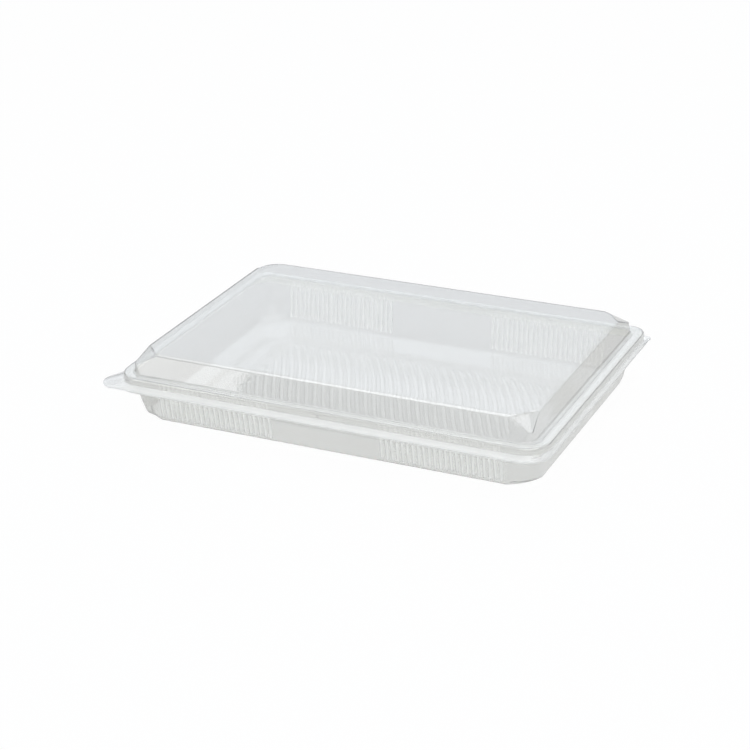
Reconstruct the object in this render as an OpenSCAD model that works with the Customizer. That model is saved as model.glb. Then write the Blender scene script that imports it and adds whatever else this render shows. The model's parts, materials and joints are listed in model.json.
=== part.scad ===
// Clear hinged pastry container: a shallow tray and a low lid formed from one plastic sheet.
// Frame: X along the long side, +Y to the hinge, +Z up, origin at the centre of the resting panel.

/* [Sheet] */
// Thickness of the formed sheet
sheet_t = 0.4; // [0.3:0.05:0.6]
// Clearance between the closed lid and the tray
nest_gap = 0.3; // [0.2:0.05:0.5]

/* [Tray] */
// Length of the tray across its end walls, outside, where the walls start
floor_l = 222.2; // [190:1:260]
// Width of the tray across its long walls, outside, where the walls start
floor_w = 144.2; // [120:1:180]
// Height of the rim bead's top above the resting plane
tray_h = 26.3; // [22:0.5:40]
// How far each wall leans out from the floor to the rim
wall_lean = 3.1; // [2:0.1:5]
// Corner radius of the floor
floor_corner_r = 14; // [10:0.5:18]
// Corner radius of the tray's walls just above the heel's facet
wall_corner_r = 8.5; // [8:0.5:12]
// Corner radius of the tray's mouth
mouth_corner_r = 8; // [6:0.5:10]
// Rounding between the floor and the walls
heel_r = 1.5; // [1:0.1:2.5]

/* [Resting panel] */
// Length of the rippled panel that the tray stands on
panel_l = 176; // [140:1:184]
// Width of the rippled panel
panel_w = 93; // [70:1:110]
// Corner radius of the rippled panel
panel_corner_r = 12; // [8:0.5:20]
// Height of the plain floor round the panel above the resting plane
floor_step = 0.8; // [0.6:0.1:1.5]

/* [Ripples] */
// Distance from one ripple to the next, measured across them
ripple_pitch = 4.42; // [3.8:0.1:7]
// Width of a ripple
ripple_w = 2.3; // [1.8:0.1:2.8]
// Height of a ripple
ripple_h = 0.45; // [0.3:0.05:0.8]
// Angle of the ripples to the long side
ripple_angle = 61; // [50:1:75]
// Sideways swing of the S shape of each ripple
ripple_swing = 1.3; // [0:0.1:2.5]
// Plain edge between the ripples and the panel's outline
ripple_margin = 2.5; // [1.5:0.5:6]

/* [Flutes] */
// Distance from one flute to the next
flute_pitch = 2.9; // [2.5:0.1:4]
// How far a flute stands out of the wall
flute_depth = 0.9; // [0.5:0.1:1.2]
// Half length of the smooth wall between the two groups
smooth_half_l = 30; // [20:1:36]
// Plain wall between the heel and the foot of the flutes
flute_foot_gap = 0.7; // [0.5:0.1:3]
// Plain wall between the head of the flutes and the top of the rim bead
flute_head_gap = 6.3; // [3:0.1:10]
// Length over which a flute rises out of the wall
flute_ramp = 1.2; // [0.6:0.1:2]

/* [Rim] */
// Width of the lid's flange from its wall to the skirt
flange_w = 4.9; // [4:0.1:7]
// Corner radius of the flange
flange_corner_r = 13; // [11:0.5:16]
// Rounding of the rim's upper edge
rim_edge_r = 0.8; // [0.6:0.1:1.2]
// Depth of the skirt from the top of the rim bead to the lip
skirt_drop = 6.2; // [4:0.1:9]
// How far the lip stands out of the skirt at the ends
lip_end_w = 1.2; // [0.8:0.1:3]
// How far the lip stands out of the skirt at the front
lip_front_w = 2.7; // [1.5:0.1:5]
// How far the lip stands out of the skirt at the hinge
lip_hinge_w = 2.2; // [1.5:0.1:5]
// Corner radius of the lip at the front
lip_corner_r = 14; // [11:0.5:16]

/* [Hinge] */
// Distance of the hinge's ends from the ends of the lip
hinge_inset = 7; // [4:1:40]
// Distance of each lip's edge from the plane of the hinge line
hinge_relief = 0.15; // [0.15:0.05:0.3]
// Fine seam between each lip's edge and the hinge web
hinge_seam = 0.1; // [0.05:0.05:0.15]

/* [Lid] */
// Height of the lid's top panel above its flange
lid_rise = 11; // [7:0.5:25]
// How far each lid wall leans in from the flange to its top edge
lid_lean = 4.8; // [3:0.1:7]
// Length of the cut lid corner along each side
lid_facet_l = 11.5; // [8:0.5:14]
// Width of the bevel round the top panel
bevel_w = 2.9; // [2:0.1:5]
// Drop of the bevel below the top panel
bevel_drop = 1; // [0.6:0.1:2]

/* [Opening tab] */
// How far the tab stands out of the lip's end
tab_out = 8.6; // [6:0.1:14]
// Length of the tab along the lip's end
tab_l = 31; // [24:1:40]
// Corner radius of the tab
tab_corner_r = 9.5; // [6:0.5:10]
// Width of the small rib at the middle of the front skirt
latch_w = 1; // [0.8:0.1:2]
// Height of the small rib
latch_h = 3.4; // [2:0.1:4]
// How far the small rib sinks into the skirt
latch_sink = 0.3; // [0.1:0.05:0.35]

/* [Hidden] */

CLEAR = [0.86, 0.89, 0.88, 0.45];
CLEAR_LID = [0.88, 0.91, 0.92, 0.45];
CLEAR_HINGE = [0.80, 0.84, 0.84, 0.6];

// Points round each corner of a ring, and pieces of an arc in a section
CORNER_POINTS = 9;
SECTION_STEPS = 3;
RIPPLE_STEPS = 8;
// How straight the corners are cut: at the tray's heel and above its facet, half-way up a lid corner,
// at its top and at its panel
HEEL_CUT = 0.55;
WALL_CUT = 0.1;
FACET_FOOT_CUT = 0.2;
FACET_CUT = 0.8;
PANEL_CUT = 0.5;
// Where the facet of a lid corner starts, as a share of the wall's height, and its corner radius there
FACET_FOOT_SHARE = 0.42;
FACET_FOOT_R_SHARE = 0.4;
// Longest mitre of a flute's inner face, as a share of its flat
MITRE_SHARE = 0.4;
// Shortest ripple, as a multiple of its width
SHORTEST_RIPPLE = 3;
CUT_MARGIN = 1;

mouth_half_l = floor_l / 2 + wall_lean;
mouth_half_w = floor_w / 2 + wall_lean;
wall_foot_z = floor_step + heel_r;
flute_z0 = wall_foot_z + flute_foot_gap;
facet_z = flute_z0 + flute_ramp;
flute_z1 = tray_h - flute_head_gap;
flute_count = floor((floor_l / 2 - floor_corner_r - smooth_half_l) / flute_pitch);

// Outer faces of the lid's skirt, and of the tray's bead that it fits over
skirt_half_l = mouth_half_l + flange_w;
skirt_half_w = mouth_half_w + flange_w;
bead_inset = sheet_t + nest_gap;
lip_z = tray_h - skirt_drop;
lid_flange_z = tray_h + nest_gap + sheet_t;
total_h = lid_flange_z + lid_rise;
lid_lip_z = lip_z + nest_gap + sheet_t;

hinge_y = skirt_half_w + lip_hinge_w;
hinge_z = lip_z + nest_gap / 2;
lip_half_l = skirt_half_l + lip_end_w;
lip_back_y = hinge_y - hinge_relief;
lip_front_y = -skirt_half_w - lip_front_w;
lip_square_r = 1;

// Lean of the tray wall at a height, outwards from where the wall starts
function lean_at(z) = wall_lean * (z - wall_foot_z) / (tray_h - wall_foot_z);

// Corner radius of the tray wall at a height, and how straight its corner is cut there
function wall_corner_at(z) =
    lookup(z, [[wall_foot_z, floor_corner_r], [facet_z, wall_corner_r], [tray_h, mouth_corner_r]]);
function wall_cut_at(z) = lookup(z, [[wall_foot_z, HEEL_CUT], [facet_z, WALL_CUT], [tray_h, 0]]);

// One station of a formed sheet: half length, front and back edge, height, corner radii at the back
// and front, how straight the corner is cut, the side of the sheet and the flute height if it has any
function station(hl, front, back, z, r_back, r_front, cut = 0, inner = false, flute = -1) =
    [hl, front, back, z, r_back, r_front, cut, inner, flute];

function even(hl, hw, z, r, cut = 0, inner = false, flute = -1) =
    station(hl, -hw, hw, z, r, r, cut, inner, flute);

// Points of one corner, from the side before it to the side after it
function corner_points(cx, cy, r, turn, cut) = [
    for (k = [0 : CORNER_POINTS - 1])
        let (
            a = turn + 90 * k / (CORNER_POINTS - 1),
            s = k / (CORNER_POINTS - 1),
            chord = [cos(turn) * (1 - s) + cos(turn + 90) * s, sin(turn) * (1 - s) + sin(turn + 90) * s],
            on_arc = [cos(a), sin(a)]
        )
        [cx, cy] + r * ((1 - cut) * on_arc + cut * chord)
];

// Where the flutes of one group start and stop along the wall, as [place, height share]
flute_slope = 0.19 * flute_pitch;
flute_flat = flute_pitch / 2 - flute_slope;
flute_mitre = min(sheet_t * tan(atan(flute_depth / flute_slope) / 2), MITRE_SHARE * flute_flat);
function flute_profile(inner) =
    let (
        rise = flute_flat / 2 + (inner ? flute_mitre : 0),
        fall = flute_pitch - rise
    )
    [[rise, 0], [rise + flute_slope, 1], [fall - flute_slope, 1], [fall, 0]];
function group_points(inner) = [
    for (i = [0 : flute_count - 1])
        for (p = flute_profile(inner)) [smooth_half_l + i * flute_pitch + p[0], p[1]]
];
function reversed(list) = [for (i = [len(list) - 1 : -1 : 0]) list[i]];

// Both groups of one wall, from one end of the wall to the other
function wall_points(inner) =
    let (group = group_points(inner))
    concat([for (p = reversed(group)) [-p[0], p[1]]], group);
SIDE_POINTS = 2 * 4 * flute_count;

function side_line(y, direction, height, inner) = [
    for (p = wall_points(inner))
        [direction * p[0], y - direction * p[1] * height]
];

// All the points of a station, counter-clockwise from above, starting at the right-hand back corner
function ring(s) =
    let (
        hl = s[0], front = s[1], back = s[2], rb = s[4], rf = s[5], cut = s[6], fluted = s[8] >= 0,
        flat = concat(
            corner_points(hl - rb, back - rb, rb, 0, cut),
            fluted ? side_line(back, -1, s[8], s[7]) : [],
            corner_points(-hl + rb, back - rb, rb, 90, cut),
            corner_points(-hl + rf, front + rf, rf, 180, cut),
            fluted ? side_line(front, 1, s[8], s[7]) : [],
            corner_points(hl - rf, front + rf, rf, 270, cut)
        )
    )
    [for (p = flat) [p[0], p[1], s[3]]];

function ring_size(s) = 4 * CORNER_POINTS + (s[8] >= 0 ? 2 * SIDE_POINTS : 0);
function first_index(stations, n) = n == 0 ? 0 : first_index(stations, n - 1) + ring_size(stations[n - 1]);

// Index of point k of corner c, and of point j of the fluted line after corner c
function corner_at(start, fluted, c, k) =
    start + c * CORNER_POINTS + k + (fluted ? (c >= 1 ? SIDE_POINTS : 0) + (c >= 3 ? SIDE_POINTS : 0) : 0);
function side_at(start, c, j) = start + (c + 1) * CORNER_POINTS + (c == 2 ? SIDE_POINTS : 0) + j;

function quad(a, b, c, d) = [[a, b, c], [a, c, d]];

// Faces of one side between two stations, where either may be plain or fluted
function side_faces(a, fa, b, fb, c) =
    let (
        last = CORNER_POINTS - 1,
        next = (c + 1) % 4,
        a0 = corner_at(a, fa, c, last), a1 = corner_at(a, fa, next, 0),
        b0 = corner_at(b, fb, c, last), b1 = corner_at(b, fb, next, 0),
        long = c == 0 || c == 2,
        half = SIDE_POINTS / 2
    )
    !long || (!fa && !fb) ? quad(a0, b0, b1, a1) :
    fa && fb ? concat(
        quad(a0, b0, side_at(b, c, 0), side_at(a, c, 0)),
        [for (j = [0 : SIDE_POINTS - 2])
            each quad(side_at(a, c, j), side_at(b, c, j), side_at(b, c, j + 1), side_at(a, c, j + 1))],
        quad(side_at(a, c, SIDE_POINTS - 1), side_at(b, c, SIDE_POINTS - 1), b1, a1)
    ) :
    fb ? concat(
        [[a0, b0, side_at(b, c, 0)]],
        [for (j = [0 : half - 2]) [a0, side_at(b, c, j), side_at(b, c, j + 1)]],
        quad(a0, side_at(b, c, half - 1), side_at(b, c, half), a1),
        [for (j = [half : SIDE_POINTS - 2]) [a1, side_at(b, c, j), side_at(b, c, j + 1)]],
        [[a1, side_at(b, c, SIDE_POINTS - 1), b1]]
    ) : concat(
        [[a0, b0, side_at(a, c, 0)]],
        [for (j = [0 : half - 2]) [side_at(a, c, j), b0, side_at(a, c, j + 1)]],
        quad(side_at(a, c, half - 1), b0, b1, side_at(a, c, half)),
        [for (j = [half : SIDE_POINTS - 2]) [side_at(a, c, j), b1, side_at(a, c, j + 1)]],
        [[side_at(a, c, SIDE_POINTS - 1), b1, a1]]
    );

function band_faces(a, fa, b, fb) = [
    for (c = [0 : 3])
        each concat(
            [for (k = [0 : CORNER_POINTS - 2])
                each quad(
                    corner_at(a, fa, c, k), corner_at(b, fb, c, k),
                    corner_at(b, fb, c, k + 1), corner_at(a, fa, c, k + 1)
                )],
            side_faces(a, fa, b, fb, c)
        )
];

// A formed sheet as one closed skin: its under side from the middle out, round the edge of the lip,
// and its upper side back to the middle
module formed_sheet(stations) {
    count = len(stations);
    last_start = first_index(stations, count - 1);
    bands = [
        for (n = [0 : count - 2])
            each band_faces(
                first_index(stations, n), stations[n][8] >= 0,
                first_index(stations, n + 1), stations[n + 1][8] >= 0
            )
    ];
    under_cap = [for (i = [0 : ring_size(stations[0]) - 1]) i];
    upper_cap = [for (i = [ring_size(stations[count - 1]) - 1 : -1 : 0]) last_start + i];
    polyhedron(points = [for (s = stations) each ring(s)], faces = concat([under_cap], bands, [upper_cap]));
}

// Stations of a rounded edge of the rim, from one end of its arc to the other
function rim_arc(centre_l, centre_w, centre_z, r, corner, from, to) = [
    for (i = [0 : SECTION_STEPS])
        let (a = from + (to - from) * i / SECTION_STEPS, out = r * cos(a))
        even(centre_l + out, centre_w + out, centre_z + r * sin(a), corner + out)
];

// Stations of a tray wall on one side of the sheet, from the floor to the mouth. The inner side takes
// its corner from a little lower, so that the sheet keeps its thickness over the shallow corner facets.
function wall_at(z, inset, inner, flute = -1) =
    let (corner_z = inner ? z - inset : z)
    even(
        floor_l / 2 + lean_at(z) - inset, floor_w / 2 + lean_at(z) - inset, z,
        wall_corner_at(corner_z) - inset, wall_cut_at(corner_z), inner, flute
    );
function wall_stations(inset, inner) = [
    wall_at(flute_z0, inset, inner, 0),
    wall_at(flute_z0 + flute_ramp, inset, inner, flute_depth),
    wall_at(flute_z1 - flute_ramp, inset, inner, flute_depth),
    wall_at(flute_z1, inset, inner, 0)
];

// The heel between the floor and the wall, of the given radius about one line
function heel_stations(r) = [
    for (i = [0 : SECTION_STEPS])
        let (a = 270 + 90 * i / SECTION_STEPS, out = r * cos(a) - heel_r)
        even(
            floor_l / 2 + out, floor_w / 2 + out, wall_foot_z + r * sin(a),
            floor_corner_r + out, HEEL_CUT
        )
];

function lip_station(z) =
    station(lip_half_l, lip_front_y, lip_back_y, z, lip_square_r, lip_corner_r);

// Rim of the tray or of the lid: the skirt and the lip, from the under side of the flange to its top
function rim_stations(skirt_l, skirt_w, corner, top_z, lip_top_z) =
    let (
        core_l = skirt_l - rim_edge_r,
        core_w = skirt_w - rim_edge_r,
        core_z = top_z - rim_edge_r,
        core_corner = corner - rim_edge_r,
        bore = rim_edge_r - sheet_t
    )
    concat(
        rim_arc(core_l, core_w, core_z, bore, core_corner, 90, 0),
        [even(core_l + bore, core_w + bore, lip_top_z - sheet_t, core_corner + bore)],
        [lip_station(lip_top_z - sheet_t), lip_station(lip_top_z)],
        [even(skirt_l, skirt_w, lip_top_z, corner)],
        rim_arc(core_l, core_w, core_z, rim_edge_r, core_corner, 0, 90)
    );

tray_stations = concat(
    [
        even(panel_l / 2, panel_w / 2, 0, panel_corner_r),
        even(panel_l / 2 + floor_step, panel_w / 2 + floor_step, floor_step, panel_corner_r + floor_step)
    ],
    heel_stations(heel_r),
    wall_stations(0, false),
    [even(mouth_half_l, mouth_half_w, tray_h - sheet_t, mouth_corner_r)],
    rim_stations(
        skirt_half_l - bead_inset, skirt_half_w - bead_inset, flange_corner_r - bead_inset, tray_h, lip_z
    ),
    [wall_at(tray_h, sheet_t, true)],
    reversed(wall_stations(sheet_t, true)),
    reversed(heel_stations(heel_r - sheet_t)),
    [
        even(
            panel_l / 2 + floor_step, panel_w / 2 + floor_step, floor_step + sheet_t,
            panel_corner_r + floor_step
        ),
        even(panel_l / 2, panel_w / 2, sheet_t, panel_corner_r)
    ]
);

// Stations of the lid's wall on one side of the sheet, from the flange to the bevel
lid_edge_z = total_h - bevel_drop;
facet_foot_z = lid_flange_z + FACET_FOOT_SHARE * (lid_edge_z - lid_flange_z);
facet_foot_r = FACET_FOOT_R_SHARE * mouth_corner_r;
bevel_mitre = sheet_t * tan(atan(bevel_drop / bevel_w) / 2);
function lid_wall_at(z, inset, corner, cut) =
    let (lean = lid_lean * (z - lid_flange_z) / (lid_edge_z - lid_flange_z))
    even(mouth_half_l - lean - inset, mouth_half_w - lean - inset, z, corner, cut);
function lid_walls(inset) = [
    lid_wall_at(lid_flange_z - inset, inset, mouth_corner_r - inset, 0),
    lid_wall_at(facet_foot_z - inset / 2, inset, facet_foot_r, FACET_FOOT_CUT),
    lid_wall_at(lid_edge_z - inset / 2, inset, lid_facet_l, FACET_CUT)
];
function lid_panel(inset, drop) =
    even(
        mouth_half_l - lid_lean - bevel_w - inset, mouth_half_w - lid_lean - bevel_w - inset,
        total_h - drop, lid_facet_l - bevel_w, PANEL_CUT
    );

lid_stations = concat(
    [lid_panel(bevel_mitre, sheet_t)],
    reversed(lid_walls(sheet_t)),
    rim_stations(skirt_half_l, skirt_half_w, flange_corner_r, lid_flange_z, lid_lip_z),
    lid_walls(0),
    [lid_panel(0, 0)]
);

// One ripple as an outline: an S-shaped strip that stays inside the panel
ripple_run = 1 / tan(ripple_angle);
ripple_step = ripple_pitch / sin(ripple_angle);
ripple_field_l = panel_l / 2 - ripple_margin;
ripple_field_w = panel_w / 2 - ripple_margin;
ripple_reach = ripple_field_l + ripple_field_w * ripple_run;
ripple_count = floor(ripple_reach / ripple_step);
function ripple_x(x0, y) = x0 - y * ripple_run + ripple_swing * sin(180 * y / ripple_field_w);
module ripple(x0, w) {
    half = w / 2 / sin(ripple_angle);
    reach = ripple_field_l - panel_corner_r / 2;
    low = max(-ripple_field_w, (x0 - reach) / ripple_run);
    high = min(ripple_field_w, (x0 + reach) / ripple_run);
    if (high - low > SHORTEST_RIPPLE * ripple_w) {
        places = [for (i = [0 : RIPPLE_STEPS]) low + (high - low) * i / RIPPLE_STEPS];
        polygon(concat(
            [for (y = places) [ripple_x(x0, y) - half, y]],
            [for (y = reversed(places)) [ripple_x(x0, y) + half, y]]
        ));
    }
}
module ripples(w) {
    for (i = [-ripple_count : ripple_count]) ripple((i + 0.5) * ripple_step, w);
}

// Outline of the opening tab at the left-hand front corner of the lid's lip
function arc_points(cx, cy, r, from, to) = [
    for (i = [0 : 8]) let (a = from + (to - from) * i / 8) [cx + r * cos(a), cy + r * sin(a)]
];
module tab_outline() {
    out_x = -lip_half_l - tab_out;
    root_x = -lip_half_l + lip_corner_r;
    polygon(concat(
        arc_points(out_x + tab_corner_r, lip_front_y + tab_corner_r, tab_corner_r, 270, 180),
        arc_points(out_x + tab_corner_r, lip_front_y + tab_l - tab_corner_r, tab_corner_r, 180, 90),
        [
            [-skirt_half_l + sheet_t / 2, lip_front_y + tab_l]
        ],
        arc_points(
            -skirt_half_l + flange_corner_r, -skirt_half_w + flange_corner_r,
            flange_corner_r - sheet_t / 2, 180, 270
        ),
        [[root_x, lip_front_y]]
    ));
}

module base() {
    color(CLEAR)
    difference() {
        union() {
            formed_sheet(tray_stations);
            translate([0, 0, sheet_t / 2]) linear_extrude(sheet_t / 2 + ripple_h) ripples(ripple_w);
        }
        translate([0, 0, -CUT_MARGIN]) linear_extrude(CUT_MARGIN + ripple_h) ripples(ripple_w - 2 * sheet_t);
    }
}

module lid() {
    color(CLEAR_LID) {
        formed_sheet(lid_stations);
        translate([0, 0, lid_lip_z - sheet_t]) linear_extrude(sheet_t) tab_outline();
        translate([0, -skirt_half_w - latch_w / 2 + latch_sink, lid_flange_z - rim_edge_r - latch_h])
            cylinder(h = latch_h, d = latch_w, $fn = 24);
    }
}

module hinge_web() {
    bend_r = nest_gap / 2;
    length = 2 * (lip_half_l - hinge_inset);
    block = length + 2 * CUT_MARGIN;
    color(CLEAR_HINGE)
    translate([0, hinge_y, hinge_z])
    rotate([0, 90, 0])
    difference() {
        cylinder(h = length, r = bend_r + sheet_t, center = true, $fn = 32);
        cylinder(h = block, r = bend_r, center = true, $fn = 32);
        translate([0, hinge_seam - hinge_relief - block / 2, 0]) cube(block, center = true);
    }
}

base();
lid();
hinge_web();
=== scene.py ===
"""A clear hinged pastry container: the tray, the lid and the bent hinge between them.

The real one is one plastic sheet, heated, vacuum formed and folded. Lengths are written in
millimetres and turned to metres where a mesh is made. X runs along the long side, +Y to the hinge
and +Z up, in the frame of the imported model.
"""

import json
import logging
import math
from collections.abc import Iterable, Sequence
from dataclasses import dataclass, field, replace
from enum import Enum

import bmesh
import bpy
from bmesh.types import BMEdge, BMesh, BMVert
from bpy.types import Material, Node, NodeSocket, NodeTree, Object, SolidifyModifier, World
from mathutils import Matrix, Vector


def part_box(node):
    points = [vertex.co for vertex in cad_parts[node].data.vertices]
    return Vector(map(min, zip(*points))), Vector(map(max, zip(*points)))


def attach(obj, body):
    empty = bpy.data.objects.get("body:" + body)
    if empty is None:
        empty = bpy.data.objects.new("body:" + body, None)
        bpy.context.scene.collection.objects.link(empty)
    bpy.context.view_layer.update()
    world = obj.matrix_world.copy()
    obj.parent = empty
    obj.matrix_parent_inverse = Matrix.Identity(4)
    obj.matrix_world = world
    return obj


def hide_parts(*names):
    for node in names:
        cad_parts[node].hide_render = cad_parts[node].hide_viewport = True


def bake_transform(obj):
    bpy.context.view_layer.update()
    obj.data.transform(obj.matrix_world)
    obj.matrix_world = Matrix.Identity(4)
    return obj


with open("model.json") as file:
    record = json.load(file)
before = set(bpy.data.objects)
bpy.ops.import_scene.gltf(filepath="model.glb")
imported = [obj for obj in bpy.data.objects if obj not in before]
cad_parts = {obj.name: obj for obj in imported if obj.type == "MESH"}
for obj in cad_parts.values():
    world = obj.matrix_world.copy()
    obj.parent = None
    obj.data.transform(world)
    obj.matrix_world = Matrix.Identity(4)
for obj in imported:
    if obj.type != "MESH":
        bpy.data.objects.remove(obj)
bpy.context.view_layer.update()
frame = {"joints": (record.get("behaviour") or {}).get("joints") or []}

MM = 0.001
# The attribute below is partly painted light: crests, lip and skirt are made milkier so that they
# read brighter.
MILK_AND_PAINTED_LIGHT = "cloud"  # point attribute: how milky the sheet is there, from 0 to 1
ROUND_SEGMENTS = 4  # faces across each rounded line of a formed sheet
WHITE = (1.0, 1.0, 1.0, 1.0)
log = logging.getLogger("pastry_container")


def linear_colour(code: str) -> tuple[float, float, float, float]:
    """Turns an sRGB hex colour to the linear values that a shader takes.

    Args:
        code: Six hex digits after a hash sign.

    Returns:
        Linear red, green and blue, and an alpha of 1.
    """
    channels = [int(code[i : i + 2], 16) / 255 for i in (1, 3, 5)]
    red, green, blue = (
        c / 12.92 if c <= 0.04045 else ((c + 0.055) / 1.055) ** 2.4 for c in channels
    )
    return (red, green, blue, 1.0)


def add_node(
    tree: NodeTree, kind: str, settings: dict[str, object] | None = None, **inputs: object
) -> Node:
    """Adds one node, with its own settings, its socket values and the links into it.

    Args:
        tree: Node tree that gets the node.
        kind: Node's class name after ShaderNode.
        settings: Node attributes to set first.
        **inputs: Values or output sockets, by input name with spaces as underscores, or by place
            as in0, in1 and so on.

    Returns:
        The new node.
    """
    node = tree.nodes.new("ShaderNode" + kind)
    for name, value in (settings or {}).items():
        setattr(node, name, value)
    for name, value in inputs.items():
        by_place = name.startswith("in") and name[2:].isdigit()
        socket = node.inputs[int(name[2:]) if by_place else name.replace("_", " ")]
        if isinstance(value, NodeSocket):
            tree.links.new(value, socket)
        else:
            socket.default_value = value
    return node


def let_lamps_through(tree: NodeTree, shader: Node, passed: str) -> NodeSocket:
    """Lets lamp light through a clear surface, so that what lies behind it is lit.

    Args:
        tree: Node tree that gets the nodes.
        shader: Shader of the surface itself.
        passed: Colour of the light that one surface of the sheet passes.

    Returns:
        Socket for the material output.
    """
    path = add_node(tree, "LightPath")
    passing = add_node(tree, "BsdfTransparent", Color=linear_colour(passed))
    return add_node(
        tree, "MixShader", in0=path.outputs["Is Shadow Ray"], in1=shader.outputs[0],
        in2=passing.outputs[0],
    ).outputs[0]


def empty_material(name: str) -> Material:
    """Makes a node material that has no nodes yet.

    Args:
        name: Name of the material.

    Returns:
        The new material.
    """
    material = bpy.data.materials.new(name)
    material.use_nodes = True
    material.node_tree.nodes.clear()
    return material


def noise(tree: NodeTree, grain_mm: float, detail: float, roughness: float) -> NodeSocket:
    """Adds smooth noise that is fixed to the object.

    Args:
        tree: Node tree that gets the nodes.
        grain_mm: Size of the noise in millimetres.
        detail: Number of finer layers.
        roughness: Strength of the finer layers.

    Returns:
        Socket with the noise, mostly between 0.3 and 0.7.
    """
    place = add_node(tree, "TexCoord").outputs["Object"]
    return add_node(
        tree, "TexNoise", Vector=place, Scale=1 / (grain_mm * MM), Detail=detail,
        Roughness=roughness,
    ).outputs["Fac"]


def relief(
    tree: NodeTree, height: NodeSocket, depth_mm: float, **below: NodeSocket
) -> NodeSocket:
    """Adds shallow relief to a surface.

    Args:
        tree: Node tree that gets the node.
        height: Socket with the height from 0 to 1.
        depth_mm: Depth of the relief in millimetres.
        **below: Normal of a coarser relief that this one lies on, if there is one.

    Returns:
        Socket with the normal of the surface.
    """
    return add_node(
        tree, "Bump", Strength=1.0, Distance=depth_mm * MM, Height=height, **below
    ).outputs["Normal"]


def make_object(name: str, bm: BMesh, *materials: Material) -> Object:
    """Turns a mesh in the making to a smooth object in the scene, and frees it.

    Args:
        name: Name of the object and its mesh.
        bm: The mesh in the making.
        *materials: Materials, in the order of their numbers on the faces.

    Returns:
        The new object.
    """
    for face in bm.faces:
        face.smooth = True
    mesh = bpy.data.meshes.new(name)
    bm.to_mesh(mesh)
    bm.free()
    for material in materials:
        mesh.materials.append(material)
    made = bpy.data.objects.new(name, mesh)
    bpy.context.scene.collection.objects.link(made)
    return made


def thicken(piece: Object, thickness_mm: float, offset: float) -> SolidifyModifier:
    """Gives a skin the thickness of the sheet.

    Args:
        piece: Object that is a skin without thickness.
        thickness_mm: Thickness of the sheet in millimetres.
        offset: -1 to grow under the skin, 0 to grow to both sides.

    Returns:
        The modifier that does it.
    """
    wall = piece.modifiers.new("sheet_thickness", "SOLIDIFY")
    wall.thickness = thickness_mm * MM
    wall.offset = offset
    return wall


def way_to(azimuth: float, elevation: float) -> Vector:
    """Finds the direction from the object to a place round it.

    Args:
        azimuth: Degrees to the right of the front.
        elevation: Degrees above the horizon.

    Returns:
        Direction of length 1.
    """
    turn, climb = math.radians(azimuth), math.radians(elevation)
    return Vector((
        math.sin(turn) * math.cos(climb), -math.cos(turn) * math.cos(climb), math.sin(climb)
    ))


def smooth_step(share: float) -> float:
    """Eases a share from 0 to 1 with level ends."""
    share = min(1.0, max(0.0, share))
    return share * share * (3 - 2 * share)


class Corner(Enum):
    """Corners of an outline seen from above, counter-clockwise.

    Each is the sign of its X and of its Y, and the angle in degrees at which its arc starts.
    """

    BACK_RIGHT = (1, 1, 0)
    BACK_LEFT = (-1, 1, 90)
    FRONT_LEFT = (-1, -1, 180)
    FRONT_RIGHT = (1, -1, 270)


class Ray(Enum):
    """Rays that meet the paper.

    Each is an output of the Light Path node, the share of plain white glow that such a ray sees, and
    how bright that glow is. Rays through the clear sheet see a grey glow of about half white,
    painted shade that greys what shows through the sheet; reflected rays see a slightly dimmer glow,
    also painted shade.
    """

    CAMERA = ("Is Camera Ray", 0.95, 1.0)
    GLOSSY = ("Is Glossy Ray", 0.85, 0.9)
    # Painted shade: through the clear sheet the paper shows as a grey glow at about half of white.
    TRANSMISSION = ("Is Transmission Ray", 0.8, 0.53)


@dataclass(frozen=True)
class Station:
    """One closed line round a formed sheet, at one height.

    Attributes:
        half_l: Half length along X.
        front: Y of the front side.
        back: Y of the back side.
        z: Height.
        r_back: Radius of the two back corners.
        r_front: Radius of the two front corners.
        cut: How far each corner is a straight cut instead of an arc, from 0 to 1.
        flute: Share of the full flute depth.
        rib: Share of the full depth of the small rib on the front.
        tab: Whether the opening tab stands out of this line.
        soften: Width of the rounding along this line, 0 for none.
        flare: How much higher the line lies at the front and the ends than at the hinge.
        creased: Whether the surface up to the next line folds at both ends of each corner.
    """

    half_l: float
    front: float
    back: float
    z: float
    r_back: float
    r_front: float
    cut: float = 0.0
    flute: float = 0.0
    rib: float = 0.0
    tab: bool = False
    soften: float = 0.0
    flare: float = 0.0
    creased: bool = False

    @staticmethod
    def even(half_l: float, half_w: float, z: float, radius: float, **extra: object) -> "Station":
        """Makes a station with the same front, back and corners."""
        return Station(half_l, -half_w, half_w, z, radius, radius, **extra)


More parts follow.
